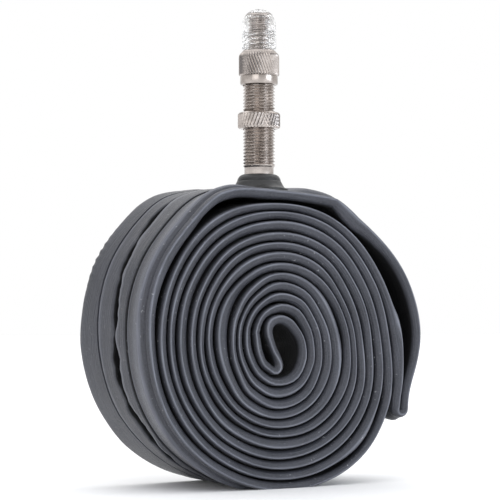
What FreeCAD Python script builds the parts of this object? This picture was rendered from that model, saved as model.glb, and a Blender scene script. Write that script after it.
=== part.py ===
import FreeCAD, Part
import math
import os

# Rolled-up bicycle inner tube with a plug-in-insert valve. Millimetres, +Z up along the valve.
# The origin is the middle of the flat patch that the roll stands on. The roll's axis lies along Y,
# and its front end faces -Y.

# ---- the wound tube ----
TUBE_WIDTH = 32.2          # flat width of the collapsed tube, along Y
STRAND_THICKNESS = 2.15    # two collapsed walls
BAND_PITCH = 2.5           # from one strand to the next, across the winding
FIRST_RADIUS = 6.2         # of the innermost half turn
HALF_TURNS = 11            # half turns of each strand outside the core
CORE_STRETCH = 0.15        # how much taller than wide the innermost turn is
CORE_SHIFT = (0.8, -0.6)   # where the innermost turn is centred, along X and Z
STRETCH_FADE = 10.0        # growth in radius over which the stretch dies away
SHIFT_FADE = 14.0          # the same for the shift
SLACK = 4.0                # how far the outermost turn has slipped outwards where it is loosest
SLACK_ANGLE = -42          # where that is, in degrees from +X towards +Z
ROLL_Z = 34.3              # height of the roll's axis
FOLD_RADIUS = 1.35         # centre-line radius of the two U-folds

# ---- the valve, on its own axis ----
VALVE_Y = -7.2             # the valve stands nearer the front end
TUBE_TOP = ROLL_Z + 37.0   # outer surface of the tube under the valve
BASE_HEIGHT = 3.2
BASE_TOP_RADIUS = 4.55
BASE_FOOT_RADIUS = 7.0
AIR_HOLE_RADIUS = 1.5

STEM_RADIUS = 3.85         # crest of the VG8 thread
STEM_SHANK_RADIUS = 3.5
STEM_BORE_RADIUS = 2.75
STEM_LOWER_BORE_RADIUS = 1.9
STEM_FLANGE_RADIUS = 4.2
STEM_FLANGE_BOTTOM = 0.7   # heights of the valve's parts are above TUBE_TOP
STEM_FLANGE_TOP = 1.6
THREAD_START = 5.0
SEAT_BOTTOM = 19.6         # conical seat in the bore
SEAT_TOP = 21.6
STEM_TOP = 30.2
SLOT_WIDTH = 1.4
SLOT_DEPTH = 1.8

RIM_NUT_BOTTOM = 14.0
RIM_NUT_HEIGHT = 4.0
RIM_NUT_RADIUS = 5.1
UNION_BOTTOM = 24.5
UNION_KNURL_BOTTOM = 26.7
UNION_TOP = 32.9
UNION_RADIUS = 4.85
UNION_COLLAR_RADIUS = 4.5
THREAD_CLEARANCE = 0.05
KNURL_TEETH = 40
KNURL_DEPTH = 0.22
NUT_CHAMFER = 0.5

NIPPLE_RADIUS = 2.6
NIPPLE_TOP = 41.3
INSERT_COLLAR_RADIUS = 3.3
INSERT_COLLAR_BOTTOM = STEM_TOP + 0.05
INSERT_COLLAR_TOP = 31.6
INSERT_SKIRT_RADIUS = 2.68
KEY_HEIGHT = 1.5           # of the two keys under the collar, which sit in the stem's slots
KEY_CLEARANCE = 0.1
INSERT_TIP = 19.9
SEAL_BOTTOM = 20.7
SEAL_TOP = 23.2
SEAL_NECK_RADIUS = 1.85
SEAL_SIDE_GAP = 0.1        # between a sealing ring and the wall beside it
CHAMBER_RADIUS = 1.35
CHAMBER_TOP = 27.6
SEAT_CONE = 0.55           # height of the plunger's conical seat at the chamber's top
AIRWAY_RADIUS = 0.8
RETAINER_HEIGHT = 0.8
RETAINER_HOLE_RADIUS = 0.55
PLUNGER_RADIUS = 1.0
PLUNGER_NECK_RADIUS = 0.45
PLUNGER_LIFT = 1.0         # travel of the check plunger
PLUNGER_REST_GAP = 0.02    # under the open plunger's foot
PLUNGER_SEAL_HEIGHT = 0.7
PLUNGER_SEAL_GAP = 0.07    # over the closed plunger's seal
FLUTES = 4
FLUTE_RADIUS = 0.45
FLUTE_STOP = 1.0           # from the flutes' top to the seal

CAP_RADIUS = 4.1
CAP_BOTTOM = 33.05
CAP_TOP = 42.7
CAP_BORE_RADIUS = 2.7
CAP_ROOM_RADIUS = 3.05
CAP_THREAD_TOP = 37.4
CAP_WALL_TOP = 0.9
CAP_DOME = 2.2


def winding_point(angle, radius):
    """A point of the winding in the roll's own plane: off centre and upright near the core,
    and slipped outwards at the lower right of the outer turns."""
    growth = radius - FIRST_RADIUS
    stretch = 1 + CORE_STRETCH * math.exp(-growth / STRETCH_FADE)
    shift = math.exp(-growth / SHIFT_FADE)
    facing = max(0.0, math.cos(angle - math.radians(SLACK_ANGLE)))
    loose = radius + SLACK * (growth / (HALF_TURNS * BAND_PITCH)) ** 2 * facing ** 4
    return (loose * math.cos(angle) + CORE_SHIFT[0] * shift,
            loose * math.sin(angle) * stretch + CORE_SHIFT[1] * shift)


def spiral(first_angle, steps_per_half_turn=8):
    """Points of one strand that winds outwards, clockwise as seen from the front."""
    points = []
    for i in range(HALF_TURNS * steps_per_half_turn + 1):
        half_turn = i / steps_per_half_turn
        angle = first_angle - math.pi * half_turn
        points.append(winding_point(angle, FIRST_RADIUS + BAND_PITCH * half_turn))
    return points


def u_fold(centre, start_angle, sweep, steps=5):
    """Points round one of the two folds in which a strand turns back."""
    points = []
    for i in range(steps + 1):
        angle = math.radians(start_angle + sweep * i / steps)
        points.append((centre[0] + FOLD_RADIUS * math.cos(angle),
                       centre[1] + FOLD_RADIUS * math.sin(angle)))
    return points


def centre_line():
    """The closed loop that the collapsed tube follows: out along one strand, back along the other."""
    # The carrying strand leaves the fold in the core, goes up the middle and over to the right.
    flap = [(-0.5, -2.0), (-1.7, 1.0), (-1.9, 3.0), (-0.8, 4.7), (1.2, 5.25), (3.8, 4.3), (6.0, 2.1)]
    carrying = spiral(0.0)
    # Its last half turn leaves the roll, carries the valve and bulges out to the right.
    last_turn = [(-33.0, 9.8), (-29.3, 19.3), (-22.8, 27.7), (-15.5, 33.5), (-8.1, 35.5),
                 (0.0, 36.0), (8.2, 35.6), (16.4, 33.7), (23.1, 29.9), (29.4, 24.8),
                 (35.1, 18.3), (39.3, 10.3), (41.0, 2.0), (39.6, -6.3), (37.6, -12.0)]
    outer_fold = u_fold((35.5, -16.1), 5, -190)
    back_up = [(34.8, -10.4), (35.2, -5.0)]
    returning = spiral(math.pi)
    returning.reverse()
    # The returning strand comes down the left of the core and folds up into the first one.
    into_core = [(-5.1, -2.6), (-4.1, -4.4), (-2.9, -5.5)]
    inner_fold = u_fold((-0.8, -4.95), 235, 130)
    return inner_fold + flap + carrying + last_turn + outer_fold + back_up + returning + into_core


def wall_outline(middle, vectors, distance):
    """A closed chain of arcs beside the middle line, one for each stretch between its points."""
    stops = [middle.parameter(vector) for vector in vectors]
    stops.append(middle.LastParameter)

    def beside(u):
        tangent = middle.tangent(u)[0]
        return middle.value(u) + FreeCAD.Vector(tangent.z, 0, -tangent.x) * distance

    arcs = []
    for start, end in zip(stops, stops[1:]):
        arcs.append(Part.Arc(beside(start), beside((start + end) / 2), beside(end)).toShape())
    return Part.Wire(arcs)


def revolve(profile):
    """A solid of revolution about the valve's axis, from (radius, height above the tube) corners."""
    corners = [FreeCAD.Vector(r, VALVE_Y, TUBE_TOP + z) for r, z in profile]
    face = Part.Face(Part.makePolygon(corners + corners[:1]))
    return face.revolve(FreeCAD.Vector(0, VALVE_Y, 0), FreeCAD.Vector(0, 0, 1), 360)


def cylinder(radius, bottom, top):
    """A cylinder on the valve's axis, between two heights above the tube."""
    base = FreeCAD.Vector(0, VALVE_Y, TUBE_TOP + bottom)
    return Part.makeCylinder(radius, top - bottom, base)


def knurled(radius, bottom, top):
    """A toothed cylinder on the valve's axis, as a knurling wheel leaves it."""
    corners = []
    for i in range(2 * KNURL_TEETH):
        angle = math.pi * i / KNURL_TEETH
        r = radius - KNURL_DEPTH * (i % 2)
        corners.append(FreeCAD.Vector(r * math.cos(angle), VALVE_Y + r * math.sin(angle),
                                      TUBE_TOP + bottom))
    face = Part.Face(Part.makePolygon(corners + corners[:1]))
    return face.extrude(FreeCAD.Vector(0, 0, top - bottom))


def inner_tube():
    """The collapsed tube, folded in two and wound up: one closed loop of rubber."""
    vectors = [FreeCAD.Vector(x, 0, z + ROLL_Z) for x, z in centre_line()]
    middle = Part.BSplineCurve()
    middle.interpolate(Points=vectors, PeriodicFlag=True)
    walls = [wall_outline(middle, vectors, side * STRAND_THICKNESS / 2) for side in (-1, 1)]
    face = Part.makeFace(walls, "Part::FaceMakerBullseye")
    face.translate(FreeCAD.Vector(0, -TUBE_WIDTH / 2, 0))
    tube = face.extrude(FreeCAD.Vector(0, TUBE_WIDTH, 0))
    size = tube.BoundBox
    ground = Part.makeBox(size.XLength, size.YLength, ROLL_Z, FreeCAD.Vector(size.XMin, size.YMin, -ROLL_Z))
    return tube.cut(ground)


def rubber_base(tube, stem):
    """The moulded foot that bonds the stem to the tube, shaped to the tube's curve."""
    shoulder = 0.8
    profile = [(AIR_HOLE_RADIUS, -1.0), (BASE_FOOT_RADIUS + 1.5, -1.0),
               (BASE_FOOT_RADIUS, -0.1), (BASE_FOOT_RADIUS - 1.1, 0.7),
               (BASE_TOP_RADIUS + 0.5, 1.7), (BASE_TOP_RADIUS, BASE_HEIGHT - shoulder),
               (BASE_TOP_RADIUS - 0.3, BASE_HEIGHT - 0.25), (BASE_TOP_RADIUS - shoulder, BASE_HEIGHT),
               (STEM_LOWER_BORE_RADIUS, BASE_HEIGHT), (STEM_LOWER_BORE_RADIUS, STEM_FLANGE_BOTTOM),
               (AIR_HOLE_RADIUS, STEM_FLANGE_BOTTOM)]
    return revolve(profile).cut(stem).cut(tube)


def valve_stem():
    """The threaded brass barrel, with its foot flange, conical seat and two key slots."""
    chamfer = 0.4
    profile = [(STEM_LOWER_BORE_RADIUS, STEM_FLANGE_BOTTOM), (STEM_FLANGE_RADIUS, STEM_FLANGE_BOTTOM),
               (STEM_FLANGE_RADIUS, STEM_FLANGE_TOP), (STEM_SHANK_RADIUS, STEM_FLANGE_TOP),
               (STEM_SHANK_RADIUS, THREAD_START), (STEM_RADIUS, THREAD_START + chamfer),
               (STEM_RADIUS, STEM_TOP - chamfer), (STEM_RADIUS - chamfer, STEM_TOP),
               (STEM_BORE_RADIUS, STEM_TOP), (STEM_BORE_RADIUS, SEAT_TOP),
               (STEM_LOWER_BORE_RADIUS, SEAT_BOTTOM)]
    slot = Part.makeBox(2 * STEM_RADIUS + 2, SLOT_WIDTH, SLOT_DEPTH + 1)
    slot.translate(FreeCAD.Vector(-STEM_RADIUS - 1, VALVE_Y - SLOT_WIDTH / 2,
                                  TUBE_TOP + STEM_TOP - SLOT_DEPTH))
    return revolve(profile).cut(slot)


def rim_nut():
    """The knurled ring that holds the valve in the rim."""
    top = RIM_NUT_BOTTOM + RIM_NUT_HEIGHT
    bore = STEM_RADIUS + THREAD_CLEARANCE
    profile = [(bore, RIM_NUT_BOTTOM), (RIM_NUT_RADIUS - NUT_CHAMFER, RIM_NUT_BOTTOM),
               (RIM_NUT_RADIUS, RIM_NUT_BOTTOM + NUT_CHAMFER), (RIM_NUT_RADIUS, top - NUT_CHAMFER),
               (RIM_NUT_RADIUS - NUT_CHAMFER, top), (bore, top)]
    return revolve(profile).common(knurled(RIM_NUT_RADIUS, RIM_NUT_BOTTOM, top))


def union_nut():
    """The knurled nut that turns on the insert and pulls it down on the stem."""
    bore = STEM_RADIUS + THREAD_CLEARANCE
    collar_chamfer = 0.35
    shoulder = INSERT_COLLAR_TOP + THREAD_CLEARANCE
    neck = INSERT_SKIRT_RADIUS + 0.07
    body = revolve([(neck, shoulder), (neck, UNION_TOP), (UNION_RADIUS - 1.0, UNION_TOP),
                    (UNION_RADIUS - 0.3, UNION_TOP - 0.25), (UNION_RADIUS, UNION_TOP - 0.7),
                    (UNION_RADIUS, UNION_KNURL_BOTTOM), (bore, UNION_KNURL_BOTTOM), (bore, shoulder)])
    collar = revolve([(bore, UNION_BOTTOM), (UNION_COLLAR_RADIUS - collar_chamfer, UNION_BOTTOM),
                      (UNION_COLLAR_RADIUS, UNION_BOTTOM + collar_chamfer),
                      (UNION_COLLAR_RADIUS, UNION_KNURL_BOTTOM), (bore, UNION_KNURL_BOTTOM)])
    toothed = body.common(knurled(UNION_RADIUS, UNION_KNURL_BOTTOM, UNION_TOP))
    return toothed.fuse(collar)


def insert_body():
    """The valve insert: nipple, collar with two keys, skirt, seal neck and plunger chamber."""
    chamfer = 0.4
    body = revolve([(AIRWAY_RADIUS, NIPPLE_TOP), (NIPPLE_RADIUS - chamfer, NIPPLE_TOP),
                    (NIPPLE_RADIUS, NIPPLE_TOP - chamfer), (NIPPLE_RADIUS, CAP_BOTTOM),
                    (INSERT_SKIRT_RADIUS, CAP_BOTTOM - 0.1), (INSERT_SKIRT_RADIUS, INSERT_COLLAR_TOP),
                    (INSERT_COLLAR_RADIUS, INSERT_COLLAR_TOP),
                    (INSERT_COLLAR_RADIUS, INSERT_COLLAR_BOTTOM),
                    (INSERT_SKIRT_RADIUS, INSERT_COLLAR_BOTTOM), (INSERT_SKIRT_RADIUS, SEAL_TOP),
                    (SEAL_NECK_RADIUS, SEAL_TOP), (SEAL_NECK_RADIUS, INSERT_TIP + 0.3),
                    (SEAL_NECK_RADIUS - 0.2, INSERT_TIP), (CHAMBER_RADIUS, INSERT_TIP),
                    (CHAMBER_RADIUS, CHAMBER_TOP - SEAT_CONE), (AIRWAY_RADIUS, CHAMBER_TOP)])
    key_width = SLOT_WIDTH - 2 * KEY_CLEARANCE
    keys = Part.makeBox(2 * INSERT_COLLAR_RADIUS, key_width, KEY_HEIGHT)
    keys.translate(FreeCAD.Vector(-INSERT_COLLAR_RADIUS, VALVE_Y - key_width / 2,
                                  TUBE_TOP + INSERT_COLLAR_BOTTOM - KEY_HEIGHT))
    keys = keys.common(cylinder(INSERT_COLLAR_RADIUS, 0, NIPPLE_TOP))
    keys = keys.cut(cylinder(INSERT_SKIRT_RADIUS - 0.2, 0, NIPPLE_TOP))
    return body.fuse(keys).removeSplitter()


def insert_seal():
    """The tapered rubber ring on the insert's neck, which closes on the stem's conical seat."""
    return revolve([(SEAL_NECK_RADIUS, SEAL_TOP), (INSERT_SKIRT_RADIUS - SEAL_SIDE_GAP, SEAL_TOP),
                    (INSERT_SKIRT_RADIUS - SEAL_SIDE_GAP, SEAT_TOP + SEAL_SIDE_GAP),
                    (SEAL_NECK_RADIUS + 0.25, SEAL_BOTTOM), (SEAL_NECK_RADIUS, SEAL_BOTTOM)])


def plunger_retainer():
    """The pierced plug pressed into the insert's tip, which keeps the plunger in."""
    return revolve([(RETAINER_HOLE_RADIUS, INSERT_TIP), (CHAMBER_RADIUS, INSERT_TIP),
                    (CHAMBER_RADIUS, INSERT_TIP + RETAINER_HEIGHT),
                    (RETAINER_HOLE_RADIUS, INSERT_TIP + RETAINER_HEIGHT)])


def plunger_heights():
    """The open plunger's foot, its seal's underside and the seal's top."""
    foot = INSERT_TIP + RETAINER_HEIGHT + PLUNGER_REST_GAP
    seal_top = CHAMBER_TOP - SEAT_CONE - PLUNGER_SEAL_GAP - PLUNGER_LIFT
    return foot, seal_top - PLUNGER_SEAL_HEIGHT, seal_top


def check_plunger():
    """The fluted plunger that air pressure pushes up against its seat."""
    foot, seal_bottom, seal_top = plunger_heights()
    neck = cylinder(PLUNGER_NECK_RADIUS, seal_bottom, seal_top)
    body = cylinder(PLUNGER_RADIUS, foot, seal_bottom).fuse(neck)
    for i in range(FLUTES):
        flute = cylinder(FLUTE_RADIUS, foot - FLUTE_RADIUS, seal_bottom - FLUTE_STOP)
        flute.translate(FreeCAD.Vector(PLUNGER_RADIUS, 0, 0))
        turn = 360 * (i + 0.5) / FLUTES
        flute.rotate(FreeCAD.Vector(0, VALVE_Y, 0), FreeCAD.Vector(0, 0, 1), turn)
        body = body.cut(flute)
    return body


def plunger_seal():
    """The small rubber ring on the plunger's head."""
    foot, seal_bottom, seal_top = plunger_heights()
    ring = cylinder(CHAMBER_RADIUS - SEAL_SIDE_GAP, seal_bottom, seal_top)
    return ring.cut(cylinder(PLUNGER_NECK_RADIUS, seal_bottom, seal_top))


def dust_cap():
    """The clear domed cap that screws on the nipple."""
    outer = [(CAP_BORE_RADIUS, CAP_BOTTOM), (CAP_RADIUS - 0.25, CAP_BOTTOM),
             (CAP_RADIUS, CAP_BOTTOM + 0.25), (CAP_RADIUS, CAP_TOP - CAP_DOME)]
    steps = 6
    for i in range(1, steps + 1):
        angle = math.pi / 2 * i / steps
        outer.append((CAP_RADIUS * math.cos(angle) ** 0.8 if i < steps else 0.0,
                      CAP_TOP - CAP_DOME + CAP_DOME * math.sin(angle)))
    ceiling = CAP_TOP - CAP_WALL_TOP
    inner = [(0.0, ceiling), (CAP_ROOM_RADIUS - 1.2, ceiling), (CAP_ROOM_RADIUS, ceiling - 1.0),
             (CAP_ROOM_RADIUS, CAP_THREAD_TOP), (CAP_BORE_RADIUS, CAP_THREAD_TOP)]
    return revolve(outer + inner)


def main():
    os.makedirs("parts", exist_ok=True)
    tube = inner_tube()
    stem = valve_stem()
    base = rubber_base(tube, stem)
    tube = tube.cut(cylinder(AIR_HOLE_RADIUS, -STRAND_THICKNESS / 2, 2))
    parts = {
        "tube": tube,
        "valve_base": base,
        "valve_stem": stem,
        "rim_nut": rim_nut(),
        "union_nut": union_nut(),
        "insert_body": insert_body(),
        "insert_seal": insert_seal(),
        "plunger_retainer": plunger_retainer(),
        "check_plunger": check_plunger(),
        "plunger_seal": plunger_seal(),
        "dust_cap": dust_cap(),
    }
    for name, shape in parts.items():
        if len(shape.Solids) != 1 or not shape.isValid():
            raise ValueError(name + " isn't one valid solid")
        shape.Solids[0].exportStep("parts/" + name + ".step")
        print(name, round(shape.Volume, 2), shape.BoundBox)


main()
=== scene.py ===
import math

import bpy
import numpy as np
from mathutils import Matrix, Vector

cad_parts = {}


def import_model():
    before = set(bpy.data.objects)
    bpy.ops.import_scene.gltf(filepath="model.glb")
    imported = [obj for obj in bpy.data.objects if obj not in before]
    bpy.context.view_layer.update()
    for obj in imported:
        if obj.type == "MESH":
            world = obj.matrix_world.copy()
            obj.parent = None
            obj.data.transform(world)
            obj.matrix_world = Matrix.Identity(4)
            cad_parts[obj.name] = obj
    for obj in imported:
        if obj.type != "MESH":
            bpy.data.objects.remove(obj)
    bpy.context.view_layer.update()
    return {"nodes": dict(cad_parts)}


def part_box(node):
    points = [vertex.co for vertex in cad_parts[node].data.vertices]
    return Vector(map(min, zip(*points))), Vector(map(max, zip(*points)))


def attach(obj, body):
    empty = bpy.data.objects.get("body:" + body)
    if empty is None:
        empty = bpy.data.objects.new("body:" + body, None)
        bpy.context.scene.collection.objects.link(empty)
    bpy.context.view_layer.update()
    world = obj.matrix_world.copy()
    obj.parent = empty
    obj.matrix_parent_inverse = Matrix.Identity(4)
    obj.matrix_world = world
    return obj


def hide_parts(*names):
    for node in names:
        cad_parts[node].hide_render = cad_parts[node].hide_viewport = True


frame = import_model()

NODES = frame["nodes"]

# Lengths are in millimetres until a mesh is made, which is in metres.
MM = 0.001

# ---- the wound tube, as the CAD part lays it out ----
TUBE_LOW, TUBE_HIGH = (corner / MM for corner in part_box("tube"))
HALF_WIDTH = (TUBE_HIGH.y - TUBE_LOW.y) / 2
STRAND_THICKNESS = 2.15
BAND_PITCH = 2.5
FIRST_RADIUS = 6.2
HALF_TURNS = 11
STEPS_PER_HALF_TURN = 8
CORE_STRETCH = 0.15
CORE_SHIFT = (0.8, -0.6)
STRETCH_FADE = 10.0
SHIFT_FADE = 14.0
SLACK = 4.0
SLACK_ANGLE = -42
ROLL_Z = 34.3
FOLD_RADIUS = 1.35

# ---- the cross-section of the collapsed tube ----
WEB_THICKNESS = STRAND_THICKNESS / 2     # each wall between the folded edges
BEAD_THICKNESS = 1.14                    # each wall beside them
BEAD_REACH = 1.5                         # how far the rounded edge reaches in from the roll's end
BEAD_RUN = 2.5                           # over which the wall thickens towards it
WALL_END = HALF_WIDTH - BEAD_REACH
INNER_PLACES = np.linspace(WALL_END - 0.8, 0.8 - WALL_END, 12)

# The folded edge from the wall that faces out of the roll to the one that faces in:
# (from the tip, beside the strand's middle). Its crest is near the wall that faces out.
BEAD = [(1.5, 1.12), (0.75, 1.10), (0.34, 1.02), (0.1, 0.87), (0.0, 0.70), (0.04, 0.52), (0.17, 0.3),
        (0.27, 0.0), (0.38, -0.3), (0.62, -0.6), (1.1, -0.9), (1.8, -1.04)]

# ---- the outermost turn ----
OUTER_START = (32.0, 33.0)               # radii over which a strand becomes the outermost turn
BARE_START = (31.6, 32.2)                # radii over which its outer wall comes into sight
OUTER_END = (280, 315)                   # clock angles over which the next turn covers it
FLAP_RADIUS = 36                         # beyond it, the turn has left the winding at the right
GAP_RADIUS = 33.5                        # beyond it, there may be room under the turn

# Its three creases, as places across its width, by the clock angle round the roll.
CLOCK = [-30, 90, 110, 135, 165, 195, 210, 225, 250, 280, 330]
FRONT_LINE = [-4.6, -5.0, -5.0, -5.2, -5.4, -5.5, -5.6, -5.8, -6.2, -6.2, -6.2]
CRACK_LINE = [3.2, 4.4, 4.2, 3.0, 0.3, 0.0, -1.0, -2.0, -2.6, -2.6, -2.6]
REAR_LINE = [10.5, 10.4, 10.2, 9.5, 8.5, 7.3, 6.8, 5.2, 4.2, 4.0, 4.0]
CRACK_WIDTH = [0.8, 1.3, 1.9, 2.6, 2.4, 3.1, 3.4, 2.8, 2.0, 1.3, 0.6]

# Their outlines: (place beside the line or the crack's lip, share of the depth). The crack
# undercuts its lips.
FRONT_GROOVE = [(-0.35, 0), (-0.1, 1), (0.25, 1), (0.35, 0.15), (0.47, 0)]
CRACK_NEAR_LIP = [(-0.35, 0), (0, 0.06), (-0.25, 0.6), (-0.4, 1)]
CRACK_FAR_LIP = [(0.3, 1), (0.25, 0.7), (0, 0.2), (0.3, 0)]
REAR_GROOVE = [(-0.35, 0), (-0.1, 1), (0.25, 1), (0.35, 0)]
GROOVE_DEPTH = 0.55
CRACK_DEPTH = 1.7

# Its relief, as places across its width: a valley behind the folded edge, then a crest that
# falls away towards the front line. Behind that line the wall steps up, and rises unevenly to the
# crack's lip. Beyond the crack it falls away again.
VALLEY, VALLEY_REACH, VALLEY_DEPTH = -13.9, 0.62, 0.75
CREST_RISE = (-13.7, -12.5)
CREST_FALL = (-12.6, -5.4)
STEP_UP = 0.28
LIP_RISE, LIP_UNEVENNESS = 0.12, 0.22
FAR_LIP_RISE = 0.22

# Painted highlight, a paler bluish grey: (place, reach, share) on its crest, and a narrow line
# before each crease's rim.
CREST_HIGHLIGHT = ((-12.4, 0.45, 0.8), (-10.8, 1.6, 0.45))
RIM_HIGHLIGHT_PLACE, RIM_HIGHLIGHT_REACH = -0.4, 0.27
RIM_HIGHLIGHT = (0.7, 0.6, 0.6)               # at the crack's lip, the front line and the rear line
# Less painted highlight at the right, where the right softbox already lights the turn.
HIGHLIGHT_CLOCK, HIGHLIGHT_SHARE = (60, 100), (0.25, 1)  # less of it at the right

# How its rear half lies on the winding within it.
SINK = (-4, 10)                          # places across its width over which it sinks
SINK_CLOCK = (85, 60)                    # clock angles over which its outer wall sinks as well

# Painted shade: a covered wall is painted dark from this far in from the roll's end.
PAINTED_SHADE_REACH = (0.6, 1.9)                       # how far in from the roll's end a covered wall goes dark
WOBBLE, WOBBLE_START = 0.45, (4, 9)      # of the folded edges, and the radii over which it sets in

# How far its back edge stands out, by the clock angle.
BULGE_CLOCK = [75, 90, 97, 104, 115, 122, 138, 149, 159, 168, 180, 190, 202, 213, 225, 240, 255, 290]
BULGE = [0, 0.6, 0.9, 0.8, 1.3, 1.5, 1.55, 1.4, 0.95, 0.95, 1.3, 1.1, 0.8, 0.45, 0.4, 0, -0.4, 0]
CRINKLE_CLOCK, CRINKLE_REACH = 146, 9    # where the back edge is crinkled
CRINKLE_DEPTH, CRINKLE_RATE = 0.16, 3.1
UNDER_VALVE, VALVE_REACH = 90, 13        # where the valve's foot flattens the front edge's crest

# ---- how the front face was pushed about in the rolling ----
# How far each place on it moved outwards: a row for every 30 degrees of clock angle, and a
# column for each radius.
LEAN_RADIUS = [6, 10, 14, 18, 22, 26, 30, 34, 35]
LEAN = [[0.2, -0.6, -0.5, 0.3, -0.6, -1.0, -1.2, -1.0, -0.9],
        [0.0, -0.6, -0.7, 0.1, -0.7, -0.8, -0.8, -0.7, -0.6],
        [0.2, 0.1, 0.1, -0.1, 0.0, -0.1, 0.0, -0.2, -0.3],
        [0.4, 0.3, 0.3, -0.2, 0.0, -0.3, 0.0, -0.9, -1.2],
        [0.8, 0.1, -0.5, -0.5, 0.3, 0.0, 0.3, 0.3, 0.1],
        [0.5, 0.0, -0.9, -0.3, -0.2, -0.4, -0.1, -0.4, -0.2],
        [-0.3, -0.3, -1.2, -0.2, -0.6, -0.4, -0.5, -0.3, 0.0],
        [-0.6, -0.5, -1.2, -0.1, -0.7, -0.4, -0.4, 0.0, 0.0],
        [-0.3, -0.3, -0.3, 0.4, -0.4, 0.0, -0.2, 0.0, 0.0],
        [0.3, 0.1, 0.6, 0.5, 0.1, 0.4, 0.2, 0.2, 0.2],
        [0.5, 0.5, 0.5, 0.5, 0.5, 0.3, 0.2, 0.1, 0.0],
        [0.3, 0.0, 0.0, 0.4, 0.5, 0.2, 0.0, -0.2, -0.2]]
LEAN_STEP = 30
LEAN_START = (1.5, 5.5)                  # radii over which the leaning sets in
LEAN_DEPTH = (-14.5, -5)                 # places across the width over which it dies away

# The same for the last turn, which lies loose over the others: its outer and its inner side.
LAST_CLOCK = [0, 20, 33, 45, 52, 58, 64, 72, 80, 90, 98, 107, 115, 130]
LAST_OUTER = [0, -0.3, -0.5, -0.7, -0.8, -0.5, -0.2, -0.9, -1.1, -1.0, -0.5, 0.1, 0.4, 0]
LAST_INNER = [0, -0.2, -0.5, -1.4, -2.2, -1.9, -0.5, -1.1, -1.3, -1.3, -1.0, -0.2, 0.1, 0]
LAST_START = (34.9, 35.4)
LAST_DEPTH = (-15, -10)

# Where strands have parted and left a dark gap, or have been pressed together:
# clock angle, radius there, reach in degrees, width.
PARTINGS = [(10, 17.5, 45, 0.60), (160, 15.6, 38, 0.50), (180, 25.2, 50, 0.40),
            (315, 33.4, 26, 0.55), (135, 34.2, 28, -0.45), (15, 28.0, 40, 0.25),
            (15, 25.3, 40, 0.25), (15, 8.0, 45, 0.35), (300, 12.3, 30, 0.3)]

# ---- the valve: heights of its parts are above the tube ----
STEM_LOW, STEM_HIGH = (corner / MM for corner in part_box("valve_stem"))
STEM_TOP = 30.2
TUBE_TOP = STEM_HIGH.z - STEM_TOP
VALVE_X = (STEM_LOW.x + STEM_HIGH.x) / 2
VALVE_Y = (STEM_LOW.y + STEM_HIGH.y) / 2
STEM_PITCH = 25.4 / 32
STEM_RADIUS = 3.85
STEM_THREAD_LOW, STEM_THREAD_HIGH = 5.2, 29.6
SLOT_WIDTH, SLOT_DEPTH = 1.4, 1.8
NIPPLE_RADIUS = 2.6
NIPPLE_PITCH = 25.4 / 24
NIPPLE_THREAD_LOW, NIPPLE_THREAD_HIGH = 34.0, 40.6
THREAD_DEPTH = 0.42
CAP_THREAD_DEPTH = 0.3
TUBE_CURVE = 31.0                        # radius of the tube's surface under the foot


# ---------------------------------------------------------------- meshes

def make_piece(name, points, faces, smooth_angle):
    """An object from points in millimetres."""
    mesh = bpy.data.meshes.new(name)
    mesh.from_pydata([Vector(p) * MM for p in points], [], faces)
    mesh.validate()
    mesh.shade_smooth()
    mesh.set_sharp_from_angle(angle=math.radians(smooth_angle))
    piece = bpy.data.objects.new(name, mesh)
    bpy.context.scene.collection.objects.link(piece)
    return piece


def ring_faces(rows, columns):
    """Quads of a grid that closes on itself both ways."""
    faces = []
    for i in range(rows):
        j = (i + 1) % rows
        for k in range(columns):
            m = (k + 1) % columns
            faces.append((i * columns + k, i * columns + m, j * columns + m, j * columns + k))
    return faces


def smooth_step(low, high, x):
    t = np.clip((x - low) / (high - low), 0, 1)
    return t * t * (3 - 2 * t)


def hump(x, middle, reach):
    """1 at the middle, falling to nothing on both sides of it."""
    return np.exp(-((x - middle) / reach) ** 2)


def wave_noise(x, seed, octaves=3):
    """Smooth noise between about -1 and 1 along a line, as a sum of sines that don't line up."""
    total = np.zeros_like(x, dtype=float)
    for i in range(octaves):
        rate = 1.7 ** i
        total += np.sin(x * rate * 1.31 + seed * 5.7 + i * 2.1) / rate
        total += np.sin(x * rate * 0.83 + seed * 3.3 + i * 4.4) / rate
    return total / 2.2


def smoothed(values, reach=9):
    """A running mean round the closed loop."""
    count = len(values)
    return np.convolve(np.tile(values, 3), np.ones(reach) / reach, "same")[count:2 * count]


# ---------------------------------------------------------------- the tube

def winding_point(angle, radius):
    """A place on the winding, which is stretched and shifted near the core and slack at the
    lower right."""
    growth = radius - FIRST_RADIUS
    stretch = 1 + CORE_STRETCH * math.exp(-growth / STRETCH_FADE)
    shift = math.exp(-growth / SHIFT_FADE)
    facing = max(0.0, math.cos(angle - math.radians(SLACK_ANGLE)))
    loose = radius + SLACK * (growth / (HALF_TURNS * BAND_PITCH)) ** 2 * facing ** 4
    return (loose * math.cos(angle) + CORE_SHIFT[0] * shift,
            loose * math.sin(angle) * stretch + CORE_SHIFT[1] * shift)


def spiral(first_angle):
    """Points of one strand that winds outwards, clockwise as seen from the front."""
    points = []
    for i in range(HALF_TURNS * STEPS_PER_HALF_TURN + 1):
        half_turn = i / STEPS_PER_HALF_TURN
        points.append(winding_point(first_angle - math.pi * half_turn,
                                    FIRST_RADIUS + BAND_PITCH * half_turn))
    return points


def u_fold(centre, start_angle, sweep, steps=5):
    """Points round one of the two folds in which a strand turns back."""
    points = []
    for i in range(steps + 1):
        angle = math.radians(start_angle + sweep * i / steps)
        points.append((centre[0] + FOLD_RADIUS * math.cos(angle),
                       centre[1] + FOLD_RADIUS * math.sin(angle)))
    return points


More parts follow.
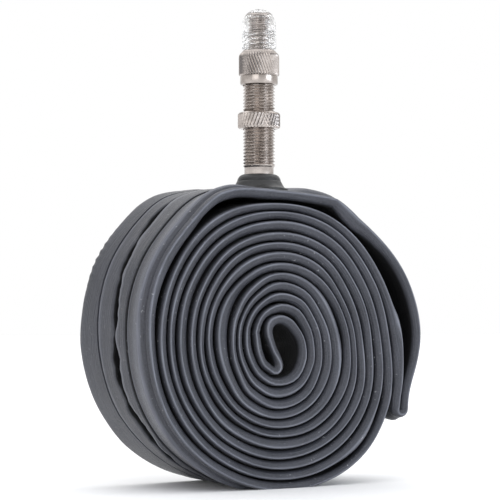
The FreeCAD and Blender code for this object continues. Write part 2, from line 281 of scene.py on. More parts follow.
def route():
    """The collapsed tube's closed loop, with how far apart its cross-sections are on each
    stretch."""
    core = u_fold((-0.8, -4.95), 235, 130)
    core += [(-0.5, -2.0), (-1.7, 1.0), (-1.9, 3.0), (-0.8, 4.7), (1.2, 5.25), (3.8, 4.3),
             (6.0, 2.1)]
    carrying = spiral(0.0)
    over_top = [(-33.0, 9.8), (-29.3, 19.3), (-22.8, 27.7), (-15.5, 33.5), (-8.1, 35.5),
                (0.0, 36.0), (8.2, 35.6), (16.4, 33.7), (23.1, 29.9), (29.4, 24.8),
                (35.1, 18.3), (39.3, 10.3), (41.0, 2.0), (39.6, -6.3), (37.6, -12.0)]
    outer_fold = u_fold((35.5, -16.1), 5, -190)
    back_up = [(34.8, -10.4), (35.2, -5.0)]
    returning = spiral(math.pi)[::-1]
    into_core = [(-5.1, -2.6), (-4.1, -4.4), (-2.9, -5.5)]
    seen = 4 * STEPS_PER_HALF_TURN // 3
    points, spacing = [], []
    for stretch, step in ((core, 0.7), (carrying[:-seen], 1.9), (carrying[-seen:], 0.6),
                          (over_top[:7], 0.6), (over_top[7:], 1.2), (outer_fold, 0.6),
                          (back_up, 1.5),
                          (returning, 1.9), (into_core, 0.8)):
        points += stretch
        spacing += [step] * len(stretch)
    return np.array(points), spacing


def closed_curve(points, spacing):
    """Places and directions along the smooth closed curve through the points."""
    count = len(points)
    gaps = np.linalg.norm(np.roll(points, -1, 0) - points, axis=1)
    slopes = (np.roll(points, -1, 0) - points) / gaps[:, None]
    system = np.zeros((count, count))
    for i in range(count):
        system[i, i - 1] += gaps[i - 1]
        system[i, i] += 2 * (gaps[i - 1] + gaps[i])
        system[i, (i + 1) % count] += gaps[i]
    bend = np.linalg.solve(system, 6 * (slopes - np.roll(slopes, 1, 0)))
    places, directions = [], []
    for i in range(count):
        j = (i + 1) % count
        pieces = max(1, math.ceil(gaps[i] / spacing[i]))
        for k in range(pieces):
            b = k / pieces
            a = 1 - b
            places.append(a * points[i] + b * points[j]
                          + ((a ** 3 - a) * bend[i] + (b ** 3 - b) * bend[j]) * gaps[i] ** 2 / 6)
            directions.append(slopes[i] + ((1 - 3 * a * a) * bend[i]
                                           + (3 * b * b - 1) * bend[j]) * gaps[i] / 6)
    directions = np.array(directions)
    directions /= np.linalg.norm(directions, axis=1)[:, None]
    return np.array(places), directions


def crease_columns(front_line, crack, crack_width, rear_line):
    """Places across the outer wall, closer together at the creases: (place, share of the
    crease's depth, depth)."""
    rows = [(-WALL_END, 0, 0)]

    def plain(end, steps):
        start = rows[-1][0]
        for i in range(1, steps):
            rows.append((start + (end - start) * i / steps, 0, 0))

    def crease(place, outline, depth):
        for beside, share in outline:
            rows.append((place + beside, share, share * depth))

    plain(front_line + FRONT_GROOVE[0][0], 12)
    crease(front_line, FRONT_GROOVE, GROOVE_DEPTH)
    plain(crack - crack_width / 2 + CRACK_NEAR_LIP[0][0], 4)
    crease(crack - crack_width / 2, CRACK_NEAR_LIP, CRACK_DEPTH)
    crease(crack + crack_width / 2, CRACK_FAR_LIP, CRACK_DEPTH)
    plain(rear_line + REAR_GROOVE[0][0], 5)
    crease(rear_line, REAR_GROOVE, GROOVE_DEPTH)
    plain(WALL_END, 7)
    rows.append((WALL_END, 0, 0))
    return np.array(rows)


def bead(sign, facing):
    """The folded edge at one end, from the left wall to the right one: (across, offset, crease,
    painted highlight) rows, with the painted highlight on its crest. Facing is 1 where the left wall
    faces out of the roll, and -1 where the right one does."""
    outline = np.array(BEAD)
    turned = outline[::-1] * (1, -1)
    tip, offset = (outline + (turned - outline) * (1 - facing) / 2).T
    # The last column is the painted highlight along the folded edge's crest.
    return np.stack([sign * (HALF_WIDTH - tip), offset, np.zeros(len(tip)),
                     hump(offset, 0.72 * facing, 0.19)], 1)


class Winding:
    """The tube's closed loop, with arrays of what it does at each cross-section."""

    def __init__(self):
        self.places, directions = closed_curve(*route())
        self.left = np.stack([-directions[:, 1], directions[:, 0]], 1)
        steps = np.linalg.norm(np.roll(self.places, -1, 0) - self.places, axis=1)
        self.along = np.concatenate([[0], np.cumsum(steps)[:-1]])
        self.clock = np.degrees(np.arctan2(self.places[:, 1], self.places[:, 0])) % 360
        radius = np.linalg.norm(self.places, axis=1)
        self.find_outer_turn(radius)
        self.lay_creases(radius)
        self.bulge = np.interp(self.clock, BULGE_CLOCK, BULGE)
        self.crinkle = (CRINKLE_DEPTH * np.sin(self.along * CRINKLE_RATE)
                        * hump(self.clock, CRINKLE_CLOCK, CRINKLE_REACH))
        self.edge = 1 - np.exp(-((self.clock - UNDER_VALVE) / VALVE_REACH) ** 4)
        self.wobble = WOBBLE * wave_noise(self.along / 13, 5) * smooth_step(*WOBBLE_START, radius)
        self.leaning = smooth_step(*SINK_CLOCK, (self.clock + 90) % 360 - 90)
        self.gap = self.inward_gap()

    def find_outer_turn(self, radius):
        """How far each cross-section is part of the outermost turn, where its left side faces
        out, and how far its outer wall is bare."""
        facing = np.sign(np.einsum("ij,ij->i", self.left, self.places))
        outer = smooth_step(*OUTER_START, radius) * (facing > 0)
        outer *= np.where(radius > FLAP_RADIUS, 1, 1 - smooth_step(*OUTER_END, self.clock))
        bare = smooth_step(*BARE_START, radius) * (facing > 0)
        self.outer = smooth_step(0, 1, smoothed(outer))
        self.bare = np.maximum(self.outer, smoothed(np.where(self.clock > 260, bare, 0)))
        self.facing = smoothed(facing)

    def lay_creases(self, radius):
        along = self.along
        clock = np.where((self.clock > 300) & (radius > FLAP_RADIUS), self.clock - 360, self.clock)
        self.front_line = np.interp(clock, CLOCK, FRONT_LINE) + 0.12 * wave_noise(along / 9, 1)
        self.rear_line = np.interp(clock, CLOCK, REAR_LINE) + 0.12 * wave_noise(along / 11, 3)
        self.crack = (np.interp(clock, CLOCK, CRACK_LINE) + 0.30 * wave_noise(along / 5, 2)
                      + 0.16 * wave_noise(along / 1.1, 7))
        raggedness = 0.85 + 0.38 * wave_noise(along / 2.6, 4, 5)
        self.width = np.maximum(np.interp(clock, CLOCK, CRACK_WIDTH) * raggedness, 0.3)
        self.lip = LIP_RISE + LIP_UNEVENNESS * wave_noise(along / 3.1, 6)
        # How much painted highlight the outer wall gets, by the clock angle.
        self.wear_and_highlight = np.interp(clock, HIGHLIGHT_CLOCK, HIGHLIGHT_SHARE)

    def inward_gap(self):
        """The free space under the outermost turn, up to the strand within it."""
        own_stretch, clearance, most = 8.0, 0.12, 6
        total = self.along[-1] + 1
        gaps = np.zeros(len(self.places))
        for i, place in enumerate(self.places):
            if np.linalg.norm(place) < GAP_RADIUS or self.left[i] @ place < 0:
                continue
            apart = np.abs(self.along - self.along[i])
            other = self.places[np.minimum(apart, total - apart) > own_stretch]
            gaps[i] = np.linalg.norm(other - place, axis=1).min() - STRAND_THICKNESS - clearance
        return smoothed(np.clip(gaps, 0, most))

    def outer_wall(self, i):
        """The wall on the left side, from front to back: (across, offset, crease, painted highlight)
        rows.
        """
        front_line, crack, rear_line = self.front_line[i], self.crack[i], self.rear_line[i]
        near_lip = crack - self.width[i] / 2
        y, cut, depth = crease_columns(front_line, crack, self.width[i], rear_line).T
        # A dog-bone: thick at the folded edges, and thinner between them.
        thickening = smooth_step(WALL_END - BEAD_RUN, WALL_END, np.abs(y))
        wall = WEB_THICKNESS + (BEAD_THICKNESS - WEB_THICKNESS) * thickening
        valley = -VALLEY_DEPTH * hump(y, VALLEY, VALLEY_REACH)
        crest = smooth_step(*CREST_RISE, y) * (1 - smooth_step(*CREST_FALL, y))
        between = (y > front_line + 0.3) * (y < crack)
        before_crack = between * (STEP_UP + self.lip[i] * smooth_step(front_line, near_lip, y))
        after_crack = (y > crack) * FAR_LIP_RISE * (1 - smooth_step(crack, rear_line, y))
        relief = self.edge[i] * (valley + crest) + before_crack + after_crack - depth
        # Painted highlight on the crest and just before each crease's rim.
        painted_highlight = sum(share * hump(y, place, reach) for place, reach, share in CREST_HIGHLIGHT)
        for rim, share in zip((near_lip, front_line, rear_line), RIM_HIGHLIGHT):
            painted_highlight += share * hump(y, rim + RIM_HIGHLIGHT_PLACE, RIM_HIGHLIGHT_REACH)
        outer = self.outer[i]
        # The crease share also marks where the material paints shade.
        return np.stack([y, wall + outer * relief, outer * np.minimum(4 * cut, 1),
                         outer * self.wear_and_highlight[i] * painted_highlight], 1)

    def section(self, i):
        """The closed cross-section: how far across, how far to the left, how much of a crease
        (painted shade), how much painted highlight, and how much painted shade for being covered, at
        each point."""
        inner_wall = [(place, -WEB_THICKNESS, 0, 0) for place in INNER_PLACES]
        rows = np.concatenate([self.outer_wall(i), bead(1, self.facing[i]), inner_wall,
                               bead(-1, self.facing[i])[::-1]])
        across, offset, crease, painted_highlight = rows.T
        under = offset < 0
        covered = np.where(under, 1.0, 1 - self.bare[i])
        # Painted shade on covered walls, from a little way in from the roll's end.
        covered_shade = covered * smooth_step(*PAINTED_SHADE_REACH, HALF_WIDTH - np.abs(across))
        # The rear half of the outermost turn bulges out at the left, and lies on the winding within.
        bulge = self.bulge[i] * smooth_step(self.crack[i], HALF_WIDTH, across)
        bulge += self.crinkle[i] * smooth_step(HALF_WIDTH - 3, HALF_WIDTH, across)
        sunk = self.gap[i] * smooth_step(*SINK, across) * np.where(under, 1.0, self.leaning[i])
        return across, offset + self.outer[i] * bulge * ~under - sunk, crease, painted_highlight, covered_shade

    def flow(self, i, across, offset):
        """Distances along the tube and round its cross-section, for the materials."""
        lengths = np.hypot(np.diff(across, append=across[0]), np.diff(offset, append=offset[0]))
        round_section = np.concatenate([[0], np.cumsum(lengths)[:-1]])
        along = np.full(len(across), self.along[i])
        return np.stack([along, round_section, np.zeros(len(across))], 1)


def front_lean(x, z, across, offset):
    """Moves the strands' front edges in or out, as they were pushed about in the rolling."""
    radius = np.hypot(x, z)
    clock = np.degrees(np.arctan2(z, x)) % 360
    row = (clock // LEAN_STEP).astype(int)
    share = smooth_step(0, LEAN_STEP, clock - LEAN_STEP * row)
    table = np.array([np.interp(radius, LEAN_RADIUS, line) for line in LEAN])
    pick = np.arange(len(radius))
    lean = table[row % len(LEAN), pick] * (1 - share) + table[(row + 1) % len(LEAN), pick] * share
    for place, parting, reach, width in PARTINGS:
        turned = (clock - place + 180) % 360 - 180
        beyond = radius - (parting - BAND_PITCH * turned / 180)
        lean += width * np.tanh(beyond / 0.35) * np.exp(-np.abs(beyond) / 3 - (turned / reach) ** 2)
    lean *= smooth_step(*LEAN_START, radius) * (1 - smooth_step(*LEAN_DEPTH, across))
    outward = np.clip(offset / STRAND_THICKNESS + 0.5, 0, 1)
    last = outward * np.interp(clock, LAST_CLOCK, LAST_OUTER)
    last += (1 - outward) * np.interp(clock, LAST_CLOCK, LAST_INNER)
    last *= 1 - smooth_step(*LAST_DEPTH, across)
    lean += (last - lean) * smooth_step(*LAST_START, radius)
    return x + lean * x / radius, z + lean * z / radius


def wound_tube():
    """The whole collapsed tube: a closed cross-section swept round the closed loop."""
    winding = Winding()
    points, flow, creases, covered_shades, ridges = [], [], [], [], []
    for i, (place, left) in enumerate(zip(winding.places, winding.left)):
        across, offset, crease, painted_highlight, covered_shade = winding.section(i)
        x, z = front_lean(place[0] + left[0] * offset, place[1] + left[1] * offset, across, offset)
        wobble = winding.wobble[i] * np.clip(np.abs(across) / HALF_WIDTH, 0, 1) ** 3
        points.append(np.stack([x, across + wobble, np.maximum(z + ROLL_Z, 0)], 1))
        flow.append(winding.flow(i, across, offset))
        creases.append(crease)
        covered_shades.append(covered_shade)
        ridges.append(painted_highlight)
    faces = ring_faces(len(points), len(points[0]))
    tube = make_piece("wound_tube", np.concatenate(points), faces, 60)
    attribute = tube.data.attributes.new("flow", "FLOAT_VECTOR", "POINT")
    attribute.data.foreach_set("vector", np.concatenate(flow).ravel())
    # Masks for the painted shade in the creases and on covered walls, and for the painted highlight.
    for name, values in (("crease", creases), ("covered_shade", covered_shades), ("painted_highlight", ridges)):
        attribute = tube.data.attributes.new(name, "FLOAT", "POINT")
        attribute.data.foreach_set("value", np.concatenate(values))
    return tube


# ---------------------------------------------------------------- turned parts

def revolved(name, profile, columns, shape=None, smooth_angle=35):
    """A closed profile turned about the valve's axis. A corner is (radius, height) or
    (radius, height, spacing): then the stretch to the next corner has rows that far apart,
    and shape(radius, height, angle) gives their radius."""
    rows = []
    for i, corner in enumerate(profile):
        following = profile[(i + 1) % len(profile)]
        pieces = 1
        if len(corner) > 2:
            pieces = max(1, round(math.dist(corner[:2], following[:2]) / corner[2]))
        for k in range(pieces):
            t = k / pieces
            rows.append((corner[0] + (following[0] - corner[0]) * t,
                         corner[1] + (following[1] - corner[1]) * t, len(corner) > 2))
    points = []
    for radius, height, shaped in rows:
        for k in range(columns):
            angle = 2 * math.pi * k / columns
            r = shape(radius, height, angle) if shaped else radius
            points.append((VALVE_X + r * math.cos(angle), VALVE_Y + r * math.sin(angle),
                           TUBE_TOP + height))
    return make_piece(name, points, ring_faces(len(rows), columns), smooth_angle)


def arc(centre, radius, start, end, steps):
    """Corners of an arc in a profile, angles in degrees from outwards to upwards."""
    corners = []
    for i in range(steps + 1):
        angle = math.radians(start + (end - start) * i / steps)
        corners.append((centre[0] + radius * math.cos(angle), centre[1] + radius * math.sin(angle)))
    return corners


def dome(radius, rise, top, steps=15):
    """Corners of half an oval that rises to the top, from its widest place nearly to the axis."""
    corners = []
    for i in range(steps):
        angle = math.pi / 2 * i / steps
        corners.append((radius * math.cos(angle), top - rise + rise * math.sin(angle)))
    return corners


def fade(height, low, high, run):
    """1 between two heights, falling to 0 within a run outside them."""
    above = min(1.0, max(0.0, (height - low) / run + 1))
    below = min(1.0, max(0.0, (high - height) / run + 1))
    return above * below


def vee(phase, flat=0.12):
    """How deep a vee thread is cut, at a share of its pitch from a crest: 0 there, 1 in the root."""
    wave = abs(2 * (phase % 1.0) - 1)
    return 1 - min(1.0, max(0.0, (wave - flat) / (1 - 2 * flat)))


def thread(pitch, depth, low, high, start=0.0, widening=0.0):
    """A shape function for a right-handed thread between two heights."""
    def shape(radius, height, angle):
        cut = depth * vee(height / pitch - angle / (2 * math.pi) + start)
        return radius + widening - cut * fade(height, low, high, 0.4)
    return shape


def rounded_ridge(turns):
    """1 at whole numbers of turns, 0 half way between."""
    return abs(2 * (turns % 1.0) - 1) ** 0.8


def knurl(teeth, depth, lean, crossing, low, high):
    """A shape function for slanting ridges, with a fainter set that crosses them."""
    def shape(radius, height, angle):
        turns = teeth * angle / (2 * math.pi)
        rolled = (1 - crossing) * rounded_ridge(turns + lean * height)
        rolled += crossing * rounded_ridge(turns - 1.6 * lean * height)
        return radius - depth * (1 - rolled) * fade(height, low, high, 0.25)
    return shape


def slot_cutter():
    """A box across the stem's top, for the two slots of the insert's keys."""
    reach = STEM_RADIUS + 2.15
    low = Vector((VALVE_X - reach, VALVE_Y - SLOT_WIDTH / 2, TUBE_TOP + STEM_TOP - SLOT_DEPTH)) * MM
    high = Vector((VALVE_X + reach, VALVE_Y + SLOT_WIDTH / 2, TUBE_TOP + STEM_TOP + 1)) * MM
    corners = [(x, y, z) for x in (low.x, high.x) for y in (low.y, high.y) for z in (low.z, high.z)]
    mesh = bpy.data.meshes.new("slot_cutter")
    mesh.from_pydata(corners, [], [(0, 1, 3, 2), (4, 6, 7, 5), (0, 4, 5, 1), (2, 3, 7, 6),
                                   (0, 2, 6, 4), (1, 5, 7, 3)])
    cutter = bpy.data.objects.new("slot_cutter", mesh)
    bpy.context.scene.collection.objects.link(cutter)
    return cutter


def cut_from(piece, cutter):
    """Takes one object's volume out of another and removes the first."""
    modifier = piece.modifiers.new("cut", "BOOLEAN")
    modifier.operation = "DIFFERENCE"
    modifier.solver = "EXACT"
    modifier.object = cutter
    bpy.context.view_layer.update()
    graph = bpy.context.evaluated_depsgraph_get()
    mesh = bpy.data.meshes.new_from_object(piece.evaluated_get(graph))
    piece.modifiers.clear()
    piece.data = mesh
    bpy.data.objects.remove(cutter)


def threaded_stem():
    """The barrel with its flange, shank, thread, conical seat and two slots."""
    profile = [(1.9, 0.7), (4.2, 0.7), (4.2, 1.6), (3.5, 1.6), (3.5, 4.75), (3.55, 4.85),
               (STEM_RADIUS, STEM_THREAD_LOW, 0.099), (STEM_RADIUS, STEM_THREAD_HIGH), (3.6, 30.05),
               (3.4, STEM_TOP), (2.75, STEM_TOP), (2.75, 21.6), (1.9, 19.6)]
    cut = thread(STEM_PITCH, THREAD_DEPTH, STEM_THREAD_LOW + 0.3, STEM_THREAD_HIGH)
    stem = revolved("stem", profile, 72, cut, 50)
    cut_from(stem, slot_cutter())
    return stem


def knurled_rim_nut():
    """The flat ring nut on the stem, with slanting ridges round it."""
    low, high, radius = 14.0, 18.0, 5.1
    profile = [(3.9, low), (4.35, low), (4.75, low + 0.12), (5.0, low + 0.4, 0.08),
               (radius, low + 0.55, 0.12), (radius, high - 0.55, 0.08), (5.0, high - 0.4),
               (4.75, high - 0.12), (4.35, high), (3.9, high)]
    return revolved("knurled_rim_nut", profile, 288,
                    knurl(36, 0.34, -0.45, 0.12, low + 0.45, high - 0.45))


def knurled_union_nut():
    """The tall nut: a plain ring and a groove below, ridges above, and a rounded top."""
    bottom, knurl_low, top, radius = 24.5, 26.7, 32.9, 4.85
    profile = [(3.9, bottom), (4.1, bottom), (4.38, bottom + 0.12), (4.5, bottom + 0.42),
               (4.5, knurl_low - 0.28), (4.42, knurl_low - 0.22), (4.42, knurl_low - 0.1),
               (4.62, knurl_low), (radius, knurl_low + 0.22, 0.1), (radius, 31.2, 0.1)]
    profile += [(x, z, 0.1) for x, z in arc((radius - 1.15, top - 1.7), 1.15, 12, 60, 4)]
    profile += [(4.0, top - 0.32), (3.8, top - 0.1), (3.5, top), (2.75, top), (2.75, 31.65),
                (3.9, 31.65)]
    return revolved("knurled_union_nut", profile, 336,
                    knurl(42, 0.30, 0.55, 0.05, knurl_low + 0.3, top - 0.9))


def insert():
    """The nipple with its thread, the collar, the skirt and the seal's neck."""
    profile = [(0.8, 41.3), (2.05, 41.3), (2.2, 41.24), (NIPPLE_RADIUS, 40.85, 0.11),
               (NIPPLE_RADIUS, 33.4), (2.68, 33.1),
               (2.68, 31.6), (3.3, 31.6), (3.3, 30.25), (2.68, 30.25), (2.68, 23.2), (1.85, 23.2),
               (1.85, 20.2), (1.65, 19.9), (1.35, 19.9), (1.35, 27.05), (0.8, 27.6)]
    cut = thread(NIPPLE_PITCH, THREAD_DEPTH, NIPPLE_THREAD_LOW, NIPPLE_THREAD_HIGH)
    return revolved("insert", profile, 60, cut, 50)


def clear_cap():
    """The moulded cap: a dome outside, a threaded bore and a domed room inside."""
    bottom, top, radius, room, roof = 33.05, 42.7, 4.1, 3.15, 0.95
    profile = [(2.95, bottom), (radius - 0.35, bottom), (radius - 0.08, bottom + 0.15),
               (radius, bottom + 0.5), (radius - 0.06, 37.0)]
    profile += dome(radius - 0.12, 3.4, top)
    profile += [(0.001, top), (0.001, top - roof)]
    profile += dome(room, 2.3, top - roof)[::-1]
    profile += [(room, 37.5), (2.7, 37.35, 0.1), (2.7, 33.45), (2.95, 33.25)]
    bore = thread(NIPPLE_PITCH, CAP_THREAD_DEPTH, 33.6, 37.0, 0.5, 0.35)
    return revolved("clear_cap", profile, 64, bore, 50)


def moulded_foot():
    """The rubber foot, whose edge follows the curve of the tube."""
    profile = [(1.5, -0.9), (7.4, -0.9), (7.4, -0.25), (7.0, -0.02), (6.5, 0.15), (6.05, 0.45),
               (5.75, 0.85), (5.45, 1.3), (5.25, 1.62), (5.16, 1.66), (5.2, 1.78), (5.05, 2.2),
               (4.75, 2.66), (4.35, 2.98), (3.95, 3.14), (3.55, 3.2), (1.9, 3.2), (1.9, 0.7),
               (1.5, 0.7)]
    foot = revolved("moulded_foot", profile, 96, None, 60)
    for vertex in foot.data.vertices:
        x = vertex.co.x / MM - VALVE_X
        height = vertex.co.z / MM - TUBE_TOP
        drop = math.sqrt(TUBE_CURVE ** 2 - x ** 2) - TUBE_CURVE
        vertex.co.z += drop * float(1 - smooth_step(0.0, 2.2, height)) * MM
    return foot


# ---------------------------------------------------------------- materials

class Nodes:
    """A material's node tree, with short calls for what the finishes need."""

    def __init__(self, name):
        self.material = bpy.data.materials.new(name)
        self.material.use_nodes = True
        self.tree = self.material.node_tree
        self.shader = self.tree.nodes["Principled BSDF"]

    def node(self, kind, settings=None, **sockets):
        made = self.tree.nodes.new(kind)
        for key, value in (settings or {}).items():
            setattr(made, key, value)
        for key, value in sockets.items():
            self.feed(made.inputs[key.replace("_", " ")], value)
        return made

    def feed(self, socket, value):
        """Links a socket to another, or gives it a constant."""
        if isinstance(value, bpy.types.NodeSocket):
            self.tree.links.new(value, socket)
        else:
            socket.default_value = value

    def place(self):
        return self.node("ShaderNodeTexCoord").outputs["Object"]

    def attribute(self, name, output="Fac"):
        return self.node("ShaderNodeAttribute", {"attribute_name": name}).outputs[output]

    def noise(self, where, scale, detail=4.0, rough=0.55):
        made = self.node("ShaderNodeTexNoise", Vector=where, Scale=scale, Detail=detail,
                         Roughness=rough)
        return made.outputs["Fac"]

    def ramp(self, value, *stops):
        """A change through (position, grey or colour) stops."""
        made = self.node("ShaderNodeValToRGB", Fac=value)
        elements = made.color_ramp.elements
        while len(elements) < len(stops):
            elements.new(0.5)
        for element, (position, colour) in zip(elements, stops):
            element.position = position
            if isinstance(colour, (int, float)):
                colour = (colour, colour, colour)
            element.color = (*colour, 1)
        return made.outputs["Color"]

    def math(self, operation, first, second):
        made = self.node("ShaderNodeMath", {"operation": operation})
        self.feed(made.inputs[0], first)
        self.feed(made.inputs[1], second)
        return made.outputs[0]

    def mix(self, share, first, second):
        made = self.node("ShaderNodeMix", {"data_type": "RGBA"})
        self.feed(made.inputs[0], share)
        for socket, value in ((made.inputs[6], first), (made.inputs[7], second)):
            self.feed(socket, value if isinstance(value, bpy.types.NodeSocket) else (*value, 1))
        return made.outputs[2]

    def stretched(self, where, factors):
        made = self.node("ShaderNodeVectorMath", {"operation": "MULTIPLY"})
        self.feed(made.inputs[0], where)
        made.inputs[1].default_value = factors
        return made.outputs[0]

    def bump(self, *layers):
        """Bumps on top of each other, each (height, distance in metres, strength)."""
        normal = None
        for height, distance, strength in layers:
            made = self.node("ShaderNodeBump", Height=height, Distance=distance, Strength=strength)
            if normal is not None:
                self.feed(made.inputs["Normal"], normal)
            normal = made.outputs["Normal"]
        self.feed(self.shader.inputs["Normal"], normal)

    def set(self, **sockets):
        for key, value in sockets.items():
            self.feed(self.shader.inputs[key.replace("_", " ")], value)


TALC = (0.42, 0.43, 0.45)
# A paler bluish grey painted on the ridges as a highlight.
PAINTED_HIGHLIGHT_RUBBER = (0.185, 0.194, 0.230)
# Painted shade, near black.
UNLIT_RUBBER = (0.003, 0.003, 0.0035)    # in the creases and between the strands


def rubber(name, dark, light, talc=1.0, wound=False):
    """Satin rubber with grains of talc. The wound tube's is streaked along its length, has a painted
    highlight on its ridges, and painted shade, near black, in its creases and where it is covered."""
    n = Nodes(name)
    place = n.place()
    cloud = n.noise(place, 90, 3)
    grain = n.noise(place, 2600, 4, 0.7)
    colour = n.mix(n.ramp(cloud, (0.35, 0.0), (0.68, 1.0)), dark, light)
    colour = n.mix(n.ramp(grain, (0.35, 0.0), (0.75, 0.7)), colour, tuple(c * 1.8 for c in light))
    specks = n.noise(place, 1500, 2, 0.5)
    patches = n.noise(place, 60, 2, 0.5)
    speck = n.math("MULTIPLY", n.ramp(specks, (0.685, 0.0), (0.745, 1.0)),
                   n.ramp(patches, (0.44, 0.0), (0.66, 0.65 * talc)))
    layers = [(grain, 0.00012, 0.45), (cloud, 0.0004, 0.15)]
    rough = n.ramp(cloud, (0.3, 0.34), (0.7, 0.44))
    if wound:
        flow = n.attribute("flow", "Vector")
        streaks = n.noise(n.stretched(flow, (0.12, 3.2, 1.0)), 1.0, 3)
        ribs = n.noise(n.stretched(flow, (2.6, 0.25, 1.0)), 1.0, 2)
        colour = n.mix(n.ramp(streaks, (0.4, 0.0), (0.75, 0.4)), colour,
                       tuple(c * 1.6 for c in light))
        # Painted highlight on the ridges, broken up by the streaks.
        highlight_mask = n.math("MULTIPLY", n.attribute("painted_highlight"), n.ramp(streaks, (0.3, 0.45), (0.65, 1.0)))
        colour = n.mix(highlight_mask, colour, PAINTED_HIGHLIGHT_RUBBER)
        # Painted shade in the creases and on covered walls.
        unlit = n.math("MAXIMUM", n.ramp(n.attribute("crease"), (0.25, 0.0), (0.8, 1.0)),
                       n.ramp(n.attribute("covered_shade"), (0.1, 0.0), (0.9, 1.0)))
        colour = n.mix(n.math("MULTIPLY", unlit, 0.95), colour, UNLIT_RUBBER)
        rough = n.mix(unlit, rough, (0.6, 0.6, 0.6))
        layers += [(streaks, 0.0004, 0.5), (ribs, 0.00015, 0.15)]
    colour = n.mix(speck, colour, TALC)
    n.set(Base_Color=colour, Roughness=rough)
    n.set(Specular_IOR_Level=0.32, Sheen_Weight=0.02, Sheen_Roughness=0.4)
    n.bump(*layers)
    return n.material


def metal(name, colour, wear_and_highlight):
    """Plated or bare turned brass, with fine tool marks round the axis and dulled patches."""
    n = Nodes(name)
    place = n.place()
    cloud = n.noise(place, 420, 4)
    marks = n.noise(n.stretched(place, (60, 60, 9000)), 1.0, 2)
    tint = n.mix(n.ramp(cloud, (0.35, 0.0), (0.7, 1.0)), colour, wear_and_highlight)
    n.set(Base_Color=tint, Roughness=n.ramp(cloud, (0.3, 0.16), (0.7, 0.27)))
    n.set(Metallic=1.0)
    n.bump((marks, 0.00003, 0.12), (n.noise(place, 2200, 3), 0.00004, 0.10))
    return n.material


def clear_plastic(name):
    """The cap's plastic, a little see-through besides its refraction, so it shows from behind."""
    n = Nodes(name)
    haze = n.noise(n.place(), 500, 4)
    n.set(Base_Color=n.ramp(haze, (0.3, (0.84, 0.84, 0.84)), (0.7, (0.91, 0.91, 0.91))))
    n.set(Roughness=n.ramp(haze, (0.35, 0.0), (0.7, 0.03)))
    n.set(Transmission_Weight=1.0, IOR=1.4, Alpha=0.82)
    return n.material


def pale_floor():
    """A floor wide enough to reach the horizon, and as pale as the background."""
    n = Nodes("pale_floor")
    shade = n.ramp(n.noise(n.place(), 30, 3), (0.3, 0.94), (0.7, 0.97))
    n.set(Base_Color=shade, Roughness=0.9)
    mesh = bpy.data.meshes.new("floor")
    size = 6.0
    mesh.from_pydata([(-size, -size, 0), (size, -size, 0), (size, size, 0), (-size, size, 0)], [],
                     [(0, 1, 2, 3)])
    mesh.materials.append(n.material)
    floor = bpy.data.objects.new("floor", mesh)
    bpy.context.scene.collection.objects.link(floor)


# ---------------------------------------------------------------- light and camera

VIEW_TURN = math.radians(32.5)
AHEAD = Vector((math.sin(VIEW_TURN), math.cos(VIEW_TURN), 0))
RIGHT = Vector((math.cos(VIEW_TURN), -math.sin(VIEW_TURN), 0))
CAMERA_DISTANCE = 0.448                  # in metres, as are those of the lights
LIGHTS_TARGET = Vector((0, 0, 0.05))
SKY_BEHIND = (0.33, 0.34, 0.37, 1)
SKY_AHEAD = (1.0, 1.0, 1.0, 1.0)
SKY_CHANGE = (0.15, 0.55)                # how far a direction points ahead, from one to the other
HORIZON = (0.34, 0.16)                   # how high it points, where the horizon's white sets in


def camera():
    """Level, and turned to the right as the photo's was, with the lens shifted to frame the roll."""
    data = bpy.data.cameras.new("camera")
    data.sensor_width = 36.0
    data.lens = 137.2
    data.shift_x = -0.058
    data.shift_y = 0.152
    data.clip_end = 50
    eye = bpy.data.objects.new("camera", data)
    face = Vector((0, -HALF_WIDTH, ROLL_Z + 4.0)) * MM
    eye.location = face - AHEAD * CAMERA_DISTANCE
    eye.rotation_euler = (math.pi / 2, 0, -VIEW_TURN)
    bpy.context.scene.collection.objects.link(eye)
    bpy.context.scene.camera = eye


def softbox(name, turn, height, distance, size, power, colour=(1, 1, 1)):
    """An area light aimed at the object. Turn is its bearing in degrees, to the right of the
    camera."""
    data = bpy.data.lights.new(name, "AREA")
    data.shape = "RECTANGLE"
    data.size, data.size_y = size
    data.energy = power
    data.color = colour
    lamp = bpy.data.objects.new(name, data)
    bearing = math.radians(turn)
    side = -AHEAD * math.cos(bearing) + RIGHT * math.sin(bearing)
    lamp.location = LIGHTS_TARGET + side * distance + Vector((0, 0, height))
    lamp.rotation_euler = (LIGHTS_TARGET - lamp.location).to_track_quat("-Z", "Y").to_euler()
    lamp.visible_camera = False
    bpy.context.scene.collection.objects.link(lamp)


def overhead():
    """Even light from above, which keeps the floor as pale as the background."""
    data = bpy.data.lights.new("overhead", "SUN")
    data.angle = math.radians(100)
    data.energy = 2.3
    bpy.context.scene.collection.objects.link(bpy.data.objects.new("overhead", data))


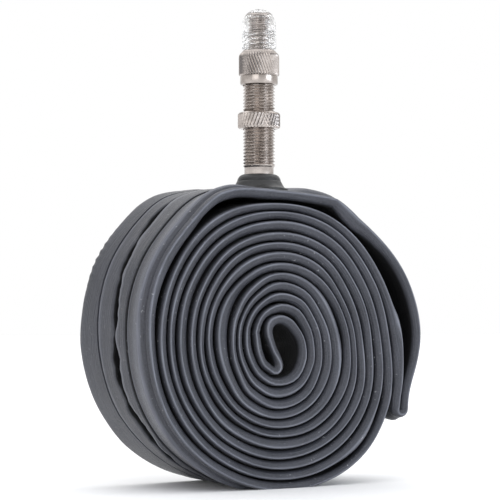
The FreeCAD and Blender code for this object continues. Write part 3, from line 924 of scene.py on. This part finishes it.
def world():
    """A studio that is white ahead of the camera and all round the horizon, and greyer behind the
    camera higher up, which the metal mirrors."""
    made = bpy.data.worlds.new("studio")
    bpy.context.scene.world = made
    made.use_nodes = True
    tree = made.node_tree
    background = tree.nodes["Background"]
    place = tree.nodes.new("ShaderNodeTexCoord")
    facing = tree.nodes.new("ShaderNodeVectorMath")
    facing.operation = "DOT_PRODUCT"
    facing.inputs[1].default_value = AHEAD
    tree.links.new(place.outputs["Generated"], facing.inputs[0])
    ramp = tree.nodes.new("ShaderNodeValToRGB")
    for element, position, colour in zip(ramp.color_ramp.elements, SKY_CHANGE,
                                         (SKY_BEHIND, SKY_AHEAD)):
        element.position = position
        element.color = colour
    tree.links.new(facing.outputs["Value"], ramp.inputs["Fac"])
    height = tree.nodes.new("ShaderNodeSeparateXYZ")
    tree.links.new(place.outputs["Generated"], height.inputs["Vector"])
    horizon = tree.nodes.new("ShaderNodeMapRange")
    horizon.interpolation_type = "SMOOTHSTEP"
    horizon.inputs["From Min"].default_value, horizon.inputs["From Max"].default_value = HORIZON
    tree.links.new(height.outputs["Z"], horizon.inputs["Value"])
    blend = tree.nodes.new("ShaderNodeMix")
    blend.data_type = "RGBA"
    tree.links.new(horizon.outputs["Result"], blend.inputs["Factor"])
    tree.links.new(ramp.outputs["Color"], blend.inputs["A"])
    blend.inputs["B"].default_value = SKY_AHEAD
    tree.links.new(blend.outputs["Result"], background.inputs["Color"])


# ---------------------------------------------------------------- putting it together

def dress(piece, body, slot, material, *replaced):
    """Gives a piece its material and its body, and hides the CAD nodes it stands for."""
    piece.data.materials.clear()
    piece.data.materials.append(material)
    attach(piece, body)
    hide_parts(*replaced)


butyl = rubber("butyl_rubber", (0.020, 0.021, 0.026), (0.041, 0.043, 0.053), wound=True)
foot_rubber = rubber("foot_rubber", (0.012, 0.012, 0.0125), (0.022, 0.022, 0.0225), talc=0.4)
nickel = metal("nickel_plate", (0.45, 0.405, 0.375), (0.30, 0.268, 0.246))
brass = metal("turned_brass", (0.70, 0.55, 0.30), (0.60, 0.45, 0.24))
ring_rubber = rubber("ring_rubber", (0.10, 0.025, 0.018), (0.14, 0.035, 0.025), talc=0.2)
plastic = clear_plastic("clear_plastic")

dress(wound_tube(), "tube_and_stem", "butyl_rubber", butyl, "tube")
dress(moulded_foot(), "tube_and_stem", "base_rubber", foot_rubber, "valve_base")
dress(threaded_stem(), "tube_and_stem", "nickel_plate", nickel, "valve_stem")
dress(knurled_rim_nut(), "rim_nut", "nickel_plate", nickel, "rim_nut")
dress(knurled_union_nut(), "union_nut", "nickel_plate", nickel, "union_nut")
dress(insert(), "insert", "nickel_plate", nickel, "insert_body")
dress(clear_cap(), "dust_cap", "clear_plastic", plastic, "dust_cap")

for node, material in (("insert_seal", ring_rubber), ("plunger_retainer", brass),
                       ("check_plunger", brass), ("plunger_seal", ring_rubber)):
    NODES[node].data.materials.clear()
    NODES[node].data.materials.append(material)

pale_floor()
camera()
softbox("key_left", -22, 0.10, 1.1, (0.75, 1.0), 3.8)
softbox("fill_right", 64, 0.10, 1.2, (0.75, 0.9), 7.4, (0.82, 0.90, 1.0))
softbox("side_left", -95, 0.3, 1.2, (0.4, 1.0), 0.2)
overhead()
world()
bpy.context.scene.view_settings.view_transform = "Standard"
